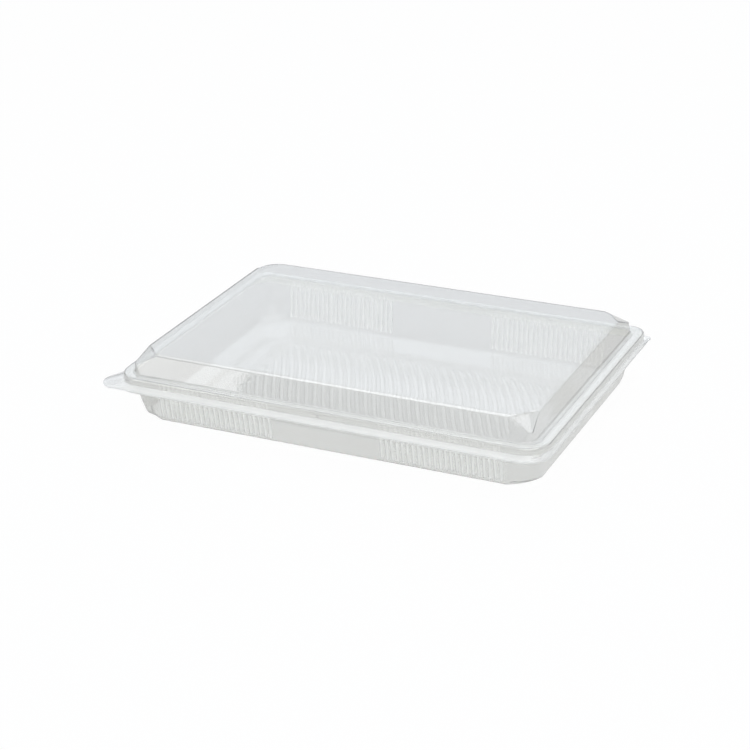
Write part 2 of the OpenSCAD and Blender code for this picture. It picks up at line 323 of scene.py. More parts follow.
@dataclass(frozen=True)
class ClearSheetFinish:
    """Clear polystyrene sheet, extruded and vacuum formed.

    It is glossy and nearly colourless. Forming stretches it, which leaves soft waves a few
    centimetres long and a faint haze, so what is behind it bends and greys a little.

    Attributes:
        name: Name of the material.
        colour: Tint of the sheet.
        roughness: Roughness where the sheet is sharpest.
        haze: How much rougher it is at most.
        milk: Milkiness where the attribute cloud is 0.
        thick_milk: Milkiness where the attribute cloud is 1.
        passed: Colour of the lamp light that one surface of the sheet passes.
        wave_mm: Length of the soft waves.
        wave_depth_mm: Depth of the soft waves.
        grain_mm: Size of the fine grain.
        grain_depth_mm: Depth of the fine grain.
        ior: Refractive index.
    """

    name: str
    colour: str
    roughness: float
    haze: float
    milk: float = 0.05
    thick_milk: float = 0.6
    passed: str = "#f6f6f5"
    wave_mm: float = 26.0
    wave_depth_mm: float = 0.10
    grain_mm: float = 1.6
    grain_depth_mm: float = 0.004
    ior: float = 1.58

    def material(self) -> Material:
        """Builds the material.

        Returns:
            A new node material.
        """
        material = empty_material(self.name)
        tree = material.node_tree
        waves = noise(tree, self.wave_mm, 1.0, 0.4)
        grain = noise(tree, self.grain_mm, 2.0, 0.5)
        haze = add_node(
            tree, "MapRange", Value=waves, From_Min=0.3, From_Max=0.7,
            To_Min=self.roughness, To_Max=self.roughness + self.haze,
        )
        soft = relief(tree, waves, self.wave_depth_mm)
        # Painted light in part: where the attribute is high the sheet turns milky white, standing in
        # for bright lines and lost light.
        cloud = add_node(tree, "Attribute", {"attribute_name": MILK_AND_PAINTED_LIGHT}).outputs["Fac"]
        clear = add_node(
            tree, "MapRange", Value=cloud, From_Min=0.0, From_Max=1.0,
            To_Min=1 - self.milk, To_Max=1 - self.thick_milk,
        )
        shader = add_node(
            tree, "BsdfPrincipled", Base_Color=linear_colour(self.colour), IOR=self.ior,
            Transmission_Weight=clear.outputs["Result"], Roughness=haze.outputs["Result"],
            Normal=relief(tree, grain, self.grain_depth_mm, Normal=soft),
        )
        add_node(tree, "OutputMaterial", Surface=let_lamps_through(tree, shader, self.passed))
        return material


@dataclass(frozen=True)
class CutEdgeFinish:
    """Edge of the same sheet where the die has cut it.

    It is slightly rough, so it scatters light and looks white.

    Attributes:
        name: Name of the material.
        colour: Tint of the edge.
        roughness: Roughness of the cut.
        clear: Share of the light that still goes through.
        passed: Colour of the lamp light that the cut passes.
        nick_mm: Size of the nicks that the die leaves.
        nick_depth_mm: Depth of the nicks.
        ior: Refractive index.
    """

    name: str = "die_cut_sheet_edge"
    colour: str = "#fafbfb"
    roughness: float = 0.3
    clear: float = 0.2
    passed: str = "#dfe2e1"
    nick_mm: float = 1.2
    nick_depth_mm: float = 0.03
    ior: float = 1.58

    def material(self) -> Material:
        """Builds the material.

        Returns:
            A new node material.
        """
        material = empty_material(self.name)
        tree = material.node_tree
        nicks = noise(tree, self.nick_mm, 3.0, 0.6)
        shader = add_node(
            tree, "BsdfPrincipled", Base_Color=linear_colour(self.colour), IOR=self.ior,
            Transmission_Weight=self.clear, Roughness=self.roughness,
            Normal=relief(tree, nicks, self.nick_depth_mm),
        )
        add_node(tree, "OutputMaterial", Surface=let_lamps_through(tree, shader, self.passed))
        return material


# Drawn deepest, over a matt mould: the stretched walls look faintly hazy and soften reflections.
TRAY_FINISH = ClearSheetFinish("formed_clear_sheet_tray", "#fbfbf9", 0.04, 0.05)
# Drawn less, over a polished mould, so that the food shows: clearer, with sharper reflections.
LID_FINISH = ClearSheetFinish("formed_clear_sheet_lid", "#fbfbfa", 0.02, 0.03)
# Creased and bent: the stressed fold scatters more light, so it looks duller and slightly grey.
HINGE_FINISH = ClearSheetFinish("creased_clear_sheet_hinge", "#f6f7f6", 0.12, 0.08, milk=0.1)
# Trimmed with a steel rule: the raw cut catches the light as a thin white line.
EDGE_FINISH = CutEdgeFinish()


@dataclass
class Rim:
    """Sizes that the tray and the lid share, so that one nests on the other.

    Attributes:
        floor_l: Length of the tray outside, where its walls start.
        floor_w: Width of the tray outside, where its walls start.
        wall_lean: How far each tray wall leans out up to the rim.
        flange_w: Width of the flange from the wall to the skirt.
        corner_r: Corner radius of the flange at the front.
        corner_back_r: Corner radius of the flange at the hinge.
        edge_r: Rounding of the rim's upper edge.
        fold_r: Rounding of the fold between the skirt and the lip.
        skirt_drop: Depth of the skirt from the bead to the lip.
        sheet_t: Thickness of the sheet.
        lip_flare: How far the lip slopes down from the skirt to its edge, except at the hinge.
        nest_gap: Clearance between the lid and the tray.
        mouth_r: Corner radius of the tray's mouth and of the lid's foot.
        lip_front_r: Corner radius of the lip at the front.
        lip_back_r: Corner radius of the lip at the hinge.
    """

    floor_l: float = 222.2
    floor_w: float = 144.2
    wall_lean: float = 3.1
    flange_w: float = 4.9
    corner_r: float = 13.0
    corner_back_r: float = 8.0
    edge_r: float = 1.7
    fold_r: float = 0.4
    skirt_drop: float = 6.2
    lip_flare: float = 2.2
    sheet_t: float = 0.4
    nest_gap: float = 0.3
    mouth_r: float = 8.0
    lip_front_r: float = 14.0
    lip_back_r: float = 1.0

    def __post_init__(self) -> None:
        """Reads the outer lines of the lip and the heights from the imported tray."""
        low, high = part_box("base")
        self.lip_half_l: float = high.x / MM
        self.lip_front: float = low.y / MM
        self.lip_back: float = high.y / MM
        self.tray_h: float = high.z / MM
        self.mouth_half_l: float = self.floor_l / 2 + self.wall_lean
        self.mouth_half_w: float = self.floor_w / 2 + self.wall_lean
        self.skirt_half_l: float = self.mouth_half_l + self.flange_w
        self.skirt_half_w: float = self.mouth_half_w + self.flange_w
        self.lid_lift: float = self.nest_gap + self.sheet_t

    def skirt_and_lip(self, inset: float, top_z: float, lip_z: float, tab: bool) -> list[Station]:
        """Stations from the edge of the lip in to the flange's upper edge.

        Args:
            inset: Distance of the skirt inside the lid's skirt.
            top_z: Height of the flange's top.
            lip_z: Height of the lip's top.
            tab: Whether the lip carries the opening tab.

        Returns:
            Stations from the lip's edge inwards and up.
        """
        lip = Station(
            self.lip_half_l, self.lip_front, self.lip_back, lip_z, self.lip_back_r,
            self.lip_front_r, tab=tab,
        )
        half_l, half_w = self.skirt_half_l - inset, self.skirt_half_w - inset
        foot = Station(
            half_l, -half_w, half_w, lip_z, self.corner_back_r - inset, self.corner_r - inset,
            soften=self.fold_r, flare=self.lip_flare,
        )
        head = replace(foot, z=top_z, soften=self.edge_r - inset, flare=0.0)
        return [lip, foot, head]


@dataclass
class FormedSheet:
    """A thin shell, lofted from its outer edge inwards and given its thickness at the end.

    Attributes:
        name: Name of the piece.
        rim: Sizes that the tray and the lid share.
        sheet_t: Thickness of the sheet.
        corner_steps: Faces round each corner.
        end_steps: Faces along each end.
        flute_depth: How far a flute stands out of the wall.
        flute_pitch: Distance from flute to flute.
        smooth_half_l: Half length of the smooth wall between the two groups of flutes.
        flange_cloud: Milkiness of the flange.
        skirt_milk_and_brightening: Milkiness of the skirt, partly painted brightness for the light
            that the stacked sheets lose.
        skirt_from: How far outside the mouth the skirt can start.
        skirt_fade: Depth over which the skirt gets its milkiness.
        lip_milk_as_highlight: Milkiness of the lip, a painted highlight that makes the lip read as a
            bright line.
        lip_above: How far above the lip its milkiness starts.
        lip_fade: Depth over which the lip gets its milkiness.
        tab_cloud: Milkiness of the opening tab.
        tab_gap: How far outside the skirt the tab's own milkiness starts.
        tab_fade: Width over which the tab gets its own milkiness.
        rib_depth: How far the small rib stands out of the front skirt.
        rib_half_w: Half width of the small rib.
        flare_run: Distance from the hinge over which the lip gets its full slope.
        tab_out: How far the opening tab stands out of the lip.
        tab_l: Length of the tab along the end, with its slope back to the lip.
        tab_r: Corner radius of the tab.
        run: Half length of the part of a long side that has its own points.
        long_places: X of those points, from left to right.
    """

    name: str
    rim: Rim
    sheet_t: float = 0.4
    corner_steps: int = 12
    end_steps: int = 12
    flute_depth: float = 0.9
    flute_pitch: float = 2.9
    smooth_half_l: float = 30.0
    flange_cloud: float = 0.06
    skirt_milk_and_brightening: float = 0.16
    skirt_from: float = 3.0
    skirt_fade: float = 2.0
    lip_milk_as_highlight: float = 0.8
    lip_above: float = 0.6
    lip_fade: float = 1.2
    tab_cloud: float = 0.32
    tab_gap: float = 2.7
    tab_fade: float = 1.5
    rib_depth: float = 0.6
    rib_half_w: float = 0.7
    flare_run: float = 25.0
    tab_out: float = 8.6
    tab_l: float = 31.0
    tab_r: float = 9.5
    run: float = field(init=False, default=0.0)
    long_places: list[float] = field(init=False, default_factory=list)

    def flute_wave(self, x: float) -> float:
        """Finds the share of the full flute depth at a place along a long wall.

        Args:
            x: Place along the wall.

        Returns:
            Share from 0 between flutes to 1 on a crest.
        """
        along = abs(x) - self.smooth_half_l
        if along <= 0 or abs(x) >= self.run:
            return 0.0
        return 0.5 - 0.5 * math.cos(math.tau * along / self.flute_pitch)

    def corner(self, station: Station, corner: Corner) -> list[Vector]:
        """Makes the points of one corner, from the side before it to the side after it.

        Args:
            station: Line that the corner belongs to.
            corner: Which corner.

        Returns:
            Points counter-clockwise from above, in millimetres.
        """
        sign_x, sign_y, start = corner.value
        radius = station.r_back if sign_y > 0 else station.r_front
        side_y = station.back if sign_y > 0 else station.front
        half_l = station.half_l
        if station.tab and corner is Corner.FRONT_LEFT:
            radius, half_l = self.tab_r, half_l + self.tab_out
        centre = Vector((sign_x * (half_l - radius), side_y - sign_y * radius, station.z))
        first, last = math.radians(start), math.radians(start + 90)
        points = []
        for k in range(self.corner_steps + 1):
            share = k / self.corner_steps
            angle = first + (last - first) * share
            arc = Vector((math.cos(angle), math.sin(angle), 0))
            chord = Vector((math.cos(first), math.sin(first), 0)).lerp(
                Vector((math.cos(last), math.sin(last), 0)), share
            )
            points.append(centre + radius * arc.lerp(chord, station.cut))
        return points

    def long_side(self, station: Station, direction: int) -> list[Vector]:
        """Makes the points of a long side between its corners.

        Args:
            station: Line that the side belongs to.
            direction: -1 for the back side, 1 for the front side.

        Returns:
            Points counter-clockwise from above, in millimetres.
        """
        back = direction < 0
        side_y = station.back if back else station.front
        radius = station.r_back if back else station.r_front
        scale = min(1.0, (station.half_l - radius) / self.run)
        points = []
        for place in self.long_places:
            x = direction * place
            out = station.flute * self.flute_depth * self.flute_wave(x)
            if not back and station.rib and abs(x) < self.rib_half_w:
                out += station.rib * self.rib_depth * math.cos(math.pi * x / 2 / self.rib_half_w)
            points.append(Vector((x * scale, side_y - direction * out, station.z)))
        return points

    def end_side(self, station: Station, direction: int) -> list[Vector]:
        """Makes the points of an end between its corners.

        Args:
            station: Line that the end belongs to.
            direction: -1 for the left end, 1 for the right end.

        Returns:
            Points counter-clockwise from above, in millimetres.
        """
        left = direction < 0
        low = station.front + (self.tab_r if left and station.tab else station.r_front)
        high = station.back - station.r_back
        tab_end = station.front + self.tab_l
        points = []
        for k in range(1, self.end_steps):
            share = k / self.end_steps
            y = high + (low - high) * share if left else low + (high - low) * share
            x = direction * station.half_l
            if left and station.tab:
                x -= self.tab_out * smooth_step((tab_end - y) / (self.tab_l - self.tab_r))
            points.append(Vector((x, y, station.z)))
        return points

    def outline(self, station: Station) -> list[Vector]:
        """Makes all the points of a station, with the slope of its flare.

        Args:
            station: Line to draw.

        Returns:
            Points counter-clockwise from above, in millimetres.
        """
        points = [
            *self.corner(station, Corner.BACK_RIGHT),
            *self.long_side(station, -1),
            *self.corner(station, Corner.BACK_LEFT),
            *self.end_side(station, -1),
            *self.corner(station, Corner.FRONT_LEFT),
            *self.long_side(station, 1),
            *self.corner(station, Corner.FRONT_RIGHT),
            *self.end_side(station, 1),
        ]
        for point in points:
            point.z += station.flare * smooth_step((station.back - point.y) / self.flare_run)
        return points

    @staticmethod
    def ring_edges(bm: BMesh, ring: Sequence[BMVert]) -> list[BMEdge]:
        """Edges of a closed ring of vertices, in order."""
        return [bm.edges.get(pair) for pair in zip(ring, [*ring[1:], ring[0]])]

    def loft(self, bm: BMesh, stations: Sequence[Station]) -> None:
        """Extrudes a ring from station to station and rounds the lines that ask for it.

        Args:
            bm: Mesh to build in.
            stations: Stations from the outer edge inwards.
        """
        points = self.outline(stations[0])
        ring = bmesh.ops.create_circle(bm, segments=len(points), radius=1.0)["verts"]
        self.place(ring, points)
        rings = [ring]
        for station in stations[1:]:
            made = bmesh.ops.extrude_edge_only(bm, edges=self.ring_edges(bm, ring))["geom"]
            fresh = {g for g in made if isinstance(g, BMVert)}
            ring = [
                next(e.other_vert(v) for e in v.link_edges if e.other_vert(v) in fresh)
                for v in ring
            ]
            self.place(ring, self.outline(station))
            if stations[len(rings) - 1].creased:
                self.crease_corners(bm, rings[-1], ring)
            rings.append(ring)
        for station, line in zip(stations, rings):
            if station.soften:
                bmesh.ops.bevel(
                    bm, geom=self.ring_edges(bm, line), offset=station.soften * MM,
                    segments=ROUND_SEGMENTS, profile=0.5, affect="EDGES", material=-1,
                    clamp_overlap=True,
                )

    def crease_corners(self, bm: BMesh, low: Sequence[BMVert], high: Sequence[BMVert]) -> None:
        """Makes sharp folds round the flat facet of each corner between two rings.

        Args:
            bm: Mesh that holds the rings.
            low: Vertices at the foot of the facets.
            high: Vertices at the head of the facets.
        """
        corner, side, end = self.corner_steps + 1, len(self.long_places), self.end_steps - 1
        for start in (0, corner + side, 2 * corner + side + end, 3 * corner + 2 * side + end):
            last = start + self.corner_steps
            folds = [(low[start], high[start]), (low[last], high[last])]
            for edge in [*folds, *zip(low[start:last], low[start + 1 : last + 1])]:
                bm.edges.get(edge).smooth = False

    @staticmethod
    def place(ring: Iterable[BMVert], points: Iterable[Vector]) -> None:
        """Moves the vertices of a ring to points in millimetres."""
        for vert, point in zip(ring, points):
            vert.co = point * MM

    def rim_z(self) -> float:
        """Height of the flange's top."""
        return self.rim.tray_h

    def milk_and_painted_brightness(self, point: Vector) -> float:
        """Finds how milky the sheet is: most at the lip, least on a drawn wall. The milk is partly
        painted
        light: it whitens the lip into a bright line and lifts the skirt where stacked sheets lose
        light.

        Args:
            point: Place in millimetres.

        Returns:
            Milkiness from 0 to 1.
        """
        rim = self.rim
        out = max(abs(point.x) - rim.mouth_half_l, abs(point.y) - rim.mouth_half_w)
        flange = self.flange_cloud * smooth_step(out)
        if out <= self.skirt_from:
            return flange
        drop = self.rim_z() - point.z
        # Partly painted light: the skirt is whitened to lift what the stacked sheets darken.
        skirt = self.skirt_milk_and_brightening * smooth_step(drop / self.skirt_fade)
        lip_drop = rim.skirt_drop - rim.lip_flare - self.lip_above
        # Painted highlight: the lip is made milky white so that it reads as a bright line.
        lip = self.lip_milk_as_highlight * smooth_step((drop - lip_drop) / self.lip_fade)
        tab = smooth_step((out - rim.flange_w - self.tab_gap) / self.tab_fade)
        return max(flange, skirt, lip + (self.tab_cloud - lip) * tab)

    def finish_mesh(self, bm: BMesh, material: Material) -> Object:
        """Turns the skin to face up, gives it its thickness and makes the object.

        Args:
            bm: Skin of the upper side.
            material: Finish of the whole piece.

        Returns:
            The new object, linked to the scene.
        """
        bmesh.ops.recalc_face_normals(bm, faces=bm.faces)
        if sum(f.normal.z * f.calc_area() for f in bm.faces) < 0:
            bmesh.ops.reverse_faces(bm, faces=bm.faces)
        piece = make_object(self.name, bm, material, EDGE_FINISH.material())
        cloud = piece.data.attributes.new(MILK_AND_PAINTED_LIGHT, "FLOAT", "POINT")
        cloud.data.foreach_set("value", [self.milk_and_painted_brightness(v.co / MM) for v in piece.data.vertices])
        wall = thicken(piece, self.sheet_t, -1.0)
        wall.use_even_offset = True
        wall.material_offset_rim = 1
        normals = piece.modifiers.new("flat_faces_stay_flat", "WEIGHTED_NORMAL")
        normals.weight = 60
        normals.keep_sharp = True
        return piece


@dataclass
class Tray(FormedSheet):
    """The tray: rippled resting panel, plain floor, fluted long walls, rim bead, skirt and lip.

    Attributes:
        floor_corner_r: Corner radius where the walls start.
        heel_r: Rounding between the floor and the walls.
        heel_cut: How far the heel's corners are straight cuts, from 0 to 1.
        wall_corner_r: Corner radius of the wall over its heel.
        wall_cut: How far the corners there are straight cuts.
        mouth_soft: Rounding between the walls and the bead.
        floor_step: Height of the plain floor over the resting panel.
        step_out: How far outside the panel the step starts.
        step_run: Length of the step.
        step_steps: Stations over the step.
        crest_milk_and_highlight: Milkiness of the flutes' crests, partly the whitening of formed
            ribs and partly a painted highlight line on each crest.
        crest_sharpness: How narrow that milky line is.
        ripple_milk_and_highlight: Milkiness of the ripples' crests, partly whitening and partly a
            painted highlight that makes the ripples show.
        panel_l: Length of the resting panel.
        panel_w: Width of the resting panel.
        panel_r: Corner radius of the resting panel.
        flute_steps: Faces across one flute.
        flute_count: Flutes in one group.
        flute_foot_gap: Plain wall under the flutes.
        flute_head_gap: Plain wall over the flutes.
        flute_ramp: Height over which a flute rises to its full depth.
        ramp_shape: Shares of that height and of the depth, station by station.
        middle_shares: Points on the smooth middle, as shares of its half length.
        ripple_pitch: Distance from ripple to ripple.
        ripple_h: Height of the ripples.
        ripple_angle: Degrees from +X at which the ripples run.
        ripple_swing: How far the S shape swings to each side.
        ripple_margin: Plain border of the panel.
        ripple_fade: Length over which the ripples fade out there.
        ripple_flat: Flat share of a ripple's pitch.
        ripple_slope: Share of the pitch over which each side of a ripple falls.
        ripple_columns: Faces across one ripple.
        ripple_rows: Faces along one ripple.
    """

    name: str = "tray_shell"
    rim: Rim = field(default_factory=Rim)
    floor_corner_r: float = 14.0
    heel_r: float = 1.5
    heel_cut: float = 0.55
    wall_corner_r: float = 8.5
    wall_cut: float = 0.1
    mouth_soft: float = 0.5
    floor_step: float = 0.8
    step_out: float = 6.5
    step_run: float = 8.0
    step_steps: int = 8
    crest_milk_and_highlight: float = 0.9
    crest_sharpness: float = 1.5
    ripple_milk_and_highlight: float = 0.12
    panel_l: float = 176.0
    panel_w: float = 93.0
    panel_r: float = 12.0
    flute_steps: int = 6
    flute_count: int = 23
    flute_foot_gap: float = 0.7
    flute_head_gap: float = 6.3
    flute_ramp: float = 1.2
    ramp_shape: tuple[tuple[float, float], ...] = ((0, 0), (0.35, 0.25), (0.7, 0.8), (1, 1))
    middle_shares: tuple[float, ...] = (-0.6, -0.2, 0.2, 0.6)
    ripple_pitch: float = 4.42
    ripple_h: float = 0.55
    ripple_angle: float = 61.0
    ripple_swing: float = 1.3
    ripple_margin: float = 2.5
    ripple_fade: float = 2.2
    ripple_flat: float = 0.3
    ripple_slope: float = 0.19
    ripple_columns: int = 12
    ripple_rows: int = 28

    def __post_init__(self) -> None:
        """Lays out the points along a long wall: every flute, and a few on the smooth middle."""
        step = self.flute_pitch / self.flute_steps
        count = self.flute_count * self.flute_steps + 1
        group = [self.smooth_half_l + step * i for i in range(count)]
        middle = [self.smooth_half_l * share for share in self.middle_shares]
        self.run = group[-1] + step
        self.long_places = [-x for x in reversed(group)] + middle + group

    def wall(self, z: float, flute: float = 0.0, soften: float = 0.0) -> Station:
        """Makes a station of the wall's inner face.

        Args:
            z: Height.
            flute: Share of the full flute depth.
            soften: Width of the rounding along the line.

        Returns:
            The new station.
        """
        foot = self.floor_step + self.heel_r
        facet = foot + self.flute_foot_gap + self.flute_ramp
        lean = self.rim.wall_lean * (z - foot) / (self.rim.tray_h - foot) - self.sheet_t
        low = min(1.0, max(0.0, (z - self.sheet_t - foot) / (facet - foot)))
        high = max(0.0, (z - self.sheet_t - facet) / (self.rim.tray_h - facet))
        radius = self.floor_corner_r + (self.wall_corner_r - self.floor_corner_r) * low
        return Station.even(
            self.rim.floor_l / 2 + lean,
            self.rim.floor_w / 2 + lean,
            z,
            radius + (self.rim.mouth_r - self.wall_corner_r) * high - self.sheet_t,
            cut=(self.heel_cut + (self.wall_cut - self.heel_cut) * low) * (1 - high),
            flute=flute,
            soften=soften,
        )

    def milk_and_painted_brightness(self, point: Vector) -> float:
        """Adds the crests of the flutes and ripples as milky lines, partly the whitening of formed
        ribs and partly painted highlights.

        Args:
            point: Place in millimetres.

        Returns:
            Milkiness from 0 to 1.
        """
        share = super().milk_and_painted_brightness(point)
        on_wall = self.rim.floor_w / 2 - self.heel_r < abs(point.y) < self.rim.mouth_half_w + 1
        if on_wall and self.flute_foot_z() < point.z < self.flute_head_z():
            # Painted highlight, with some real whitening: each flute's crest is made milky so that
            # it reads as a bright line.
            crest = self.flute_wave(point.x) ** self.crest_sharpness
            share = max(share, self.crest_milk_and_highlight * crest)
        # Painted highlight, with some real whitening: the ripples' crests are made milkier so that
        # they show.
        if abs(point.y) < self.panel_w / 2 and abs(point.x) < self.panel_l / 2:
            share = max(share, self.ripple_milk_and_highlight * (point.z - self.sheet_t) / self.ripple_h)
        return share

    def flute_foot_z(self) -> float:
        """Height of the foot of the flutes."""
        return self.floor_step + self.heel_r + self.flute_foot_gap

    def flute_head_z(self) -> float:
        """Height of the head of the flutes."""
        return self.rim.tray_h - self.flute_head_gap

    def stations(self) -> list[Station]:
        """Lists the tray's lines.

        Returns:
            Stations from the lip's edge, over the bead and down the wall, to the resting panel.
        """
        top, lip_z = self.rim.tray_h, self.rim.tray_h - self.rim.skirt_drop
        foot_z, head_z = self.flute_foot_z(), self.flute_head_z()
        ramp = self.ramp_shape
        floor_z = self.floor_step + self.sheet_t
        shares = [i / self.step_steps for i in range(self.step_steps + 1)]
        outs = [self.step_out - self.step_run * share for share in shares]
        return [
            *self.rim.skirt_and_lip(self.rim.lid_lift, top, lip_z, tab=False),
            self.wall(top, soften=self.mouth_soft),
            *[self.wall(head_z - part * self.flute_ramp, flute) for part, flute in ramp],
            self.wall((head_z + foot_z) / 2, 1.0),
            *[self.wall(foot_z + part * self.flute_ramp, flute) for part, flute in reversed(ramp)],
            self.wall(floor_z, soften=self.heel_r - self.sheet_t),
            *[
                Station.even(
                    self.panel_l / 2 + out,
                    self.panel_w / 2 + out,
                    self.sheet_t
                    + self.floor_step * smooth_step(1 - (self.step_out - out) / self.step_run),
                    self.panel_r + out,
                )
                for out in outs
            ],
        ]

    def ripple_field(self, bm: BMesh) -> list[BMEdge]:
        """Adds the rippled middle of the floor as a grid whose columns run along the ripples.

        Args:
            bm: Mesh to build in.

        Returns:
            Edges of the field's outline.
        """
        run = 1 / math.tan(math.radians(self.ripple_angle))
        pitch_x = self.ripple_pitch / math.sin(math.radians(self.ripple_angle))
        half_l = self.panel_l / 2 - self.ripple_margin
        half_w = self.panel_w / 2 - self.ripple_margin
        inner_l = half_l - self.panel_r / 2
        reach = inner_l + half_w * run
        last_column = math.floor((reach - self.ripple_fade) / pitch_x * self.ripple_columns)
        grid = bmesh.ops.create_grid(
            bm, x_segments=2 * last_column, y_segments=self.ripple_rows, size=1.0
        )["verts"]
        for vert in grid:
            x0 = vert.co.x * last_column * pitch_x / self.ripple_columns
            low = max(-half_w, (x0 - inner_l) / run)
            high = min(half_w, (x0 + inner_l) / run)
            y = (low + high) / 2 + vert.co.y * (high - low) / 2
            x = x0 - y * run + self.ripple_swing * math.sin(math.pi * y / half_w)
            edge = min(y - low, high - y)
            away = abs(x0 / pitch_x - math.floor(x0 / pitch_x) - 0.5)
            crest = (self.ripple_flat / 2 + self.ripple_slope - away) / self.ripple_slope
            lift = self.ripple_h * smooth_step(crest)
            vert.co = Vector((x, y, self.sheet_t + lift * smooth_step(edge / self.ripple_fade))) * MM
        return [e for e in {e for v in grid for e in v.link_edges} if e.is_boundary]

    def build(self) -> Object:
        """Builds the tray.

        Returns:
            The piece that stands for the node base.
        """
        bm = bmesh.new()
        self.loft(bm, self.stations())
        inner = [
            e for e in bm.edges
            if e.is_boundary and all(v.co.z < (self.sheet_t + 0.01) * MM for v in e.verts)
        ]
        bmesh.ops.triangle_fill(bm, use_beauty=True, edges=inner + self.ripple_field(bm))
        piece = self.finish_mesh(bm, TRAY_FINISH.material())
        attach(piece, "tray")
        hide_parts("base")
        return piece


@dataclass
class Lid(FormedSheet):
    """The lid: bevelled top panel with cut corners, leaning walls, flange, skirt, lip and tab.

    Attributes:
        lean: How far each wall leans in up to the bevel.
        end_shelf: How much wider the flange is at the ends than at the long sides.
        facet_l: Length of the corner facets at their head, measured along each side.
        facet_foot_share: Share of the wall's height at which the facets start.
        facet_foot_r: Corner radius of the wall there.
        facet_cut: How far the facets' head is a straight cut, from 0 to 1.
        panel_cut: How far the panel's corners are straight cuts.
        bevel_w: Width of the bevel round the panel.
        bevel_drop: Height of the bevel.
        foot_soft: Rounding between the flange and the walls.
        top_soft: Rounding at both sides of the bevel.
        rib_h: Height of the small rib on the front skirt.
        rib_ramp: Height over which the rib rises at each end.
        side_steps: Faces along each half of a long side.
        rib_steps: Faces across each half of the rib.
    """

    name: str = "lid_shell"
    rim: Rim = field(default_factory=Rim)
    end_steps: int = 40
    lean: float = 4.8
    end_shelf: float = 1.4
    facet_l: float = 11.5
    facet_foot_share: float = 0.5
    facet_foot_r: float = 2.0
    facet_cut: float = 0.9
    panel_cut: float = 0.25
    bevel_w: float = 2.9
    bevel_drop: float = 1.0
    foot_soft: float = 0.6
    top_soft: float = 0.4
    rib_h: float = 2.0
    rib_ramp: float = 0.4
    side_steps: int = 14
    rib_steps: int = 3

    def __post_init__(self) -> None:
        """Lays out the points along a long side, close together only at the small rib."""
        self.run = self.rim.skirt_half_l - self.rim.corner_r
        coarse = [self.run * i / self.side_steps for i in range(1, self.side_steps)]
        fine = [self.rib_half_w * i / self.rib_steps for i in range(1, self.rib_steps + 1)]
        self.long_places = [-x for x in reversed(fine + coarse)] + [0.0] + fine + coarse

    def wall(self, share: float, radius: float, cut: float, soften: float) -> Station:
        """Makes a station of the wall's outer face.

        Args:
            share: Share of the wall's height.
            radius: Corner radius.
            cut: How far each corner is a straight cut, from 0 to 1.
            soften: Width of the rounding along the line.

        Returns:
            The new station.
        """
        end_lean = self.end_shelf + (self.lean - self.end_shelf) * share
        foot = self.rim_z()
        return Station.even(
            self.rim.mouth_half_l - end_lean,
            self.rim.mouth_half_w - self.lean * share,
            foot + (self.top_z() - self.bevel_drop - foot) * share,
            radius,
            cut=cut,
            soften=soften,
        )

    def rim_z(self) -> float:
        """Height of the flange's top."""
        return self.rim.tray_h + self.rim.lid_lift

    def top_z(self) -> float:
        """Height of the top panel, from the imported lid."""
        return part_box("lid")[1].z / MM

    def stations(self) -> list[Station]:
        """Lists the lid's lines.

        Returns:
            Stations from the lip's edge, up the skirt, over the flange and up the wall.
        """
        flange_z = self.rim_z()
        lip_z = flange_z - self.rim.skirt_drop
        lip, foot, head = self.rim.skirt_and_lip(0.0, flange_z, lip_z, tab=True)
        rib_top = flange_z - self.rim.edge_r
        rib = [
            replace(foot, z=z, rib=share, soften=0.0, flare=0.0)
            for z, share in [
                (rib_top - self.rib_h, 0.0),
                (rib_top - self.rib_h + self.rib_ramp, 1.0),
                (rib_top - self.rib_ramp, 1.0),
                (rib_top, 0.0),
            ]
        ]
        inset = self.lean + self.bevel_w
        facet_foot = self.wall(self.facet_foot_share, self.facet_foot_r, 0.0, soften=0.0)
        return [
            lip,
            foot,
            *rib,
            head,
            self.wall(0.0, self.rim.mouth_r, 0.0, soften=self.foot_soft),
            replace(facet_foot, creased=True),
            self.wall(1.0, self.facet_l, self.facet_cut, soften=self.top_soft),
            Station.even(
                self.rim.mouth_half_l - inset, self.rim.mouth_half_w - inset, self.top_z(),
                self.facet_l - self.bevel_w, cut=self.panel_cut, soften=self.top_soft,
            ),
        ]

    def build(self) -> Object:
        """Builds the lid.

        Returns:
            The piece that stands for the node lid.
        """
        bm = bmesh.new()
        self.loft(bm, self.stations())
        panel = [
            e for e in bm.edges
            if e.is_boundary and all(v.co.z > (self.top_z() - 0.01) * MM for v in e.verts)
        ]
        bmesh.ops.contextual_create(bm, geom=panel)
        piece = self.finish_mesh(bm, LID_FINISH.material())
        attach(piece, "lid")
        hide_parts("lid")
        return piece


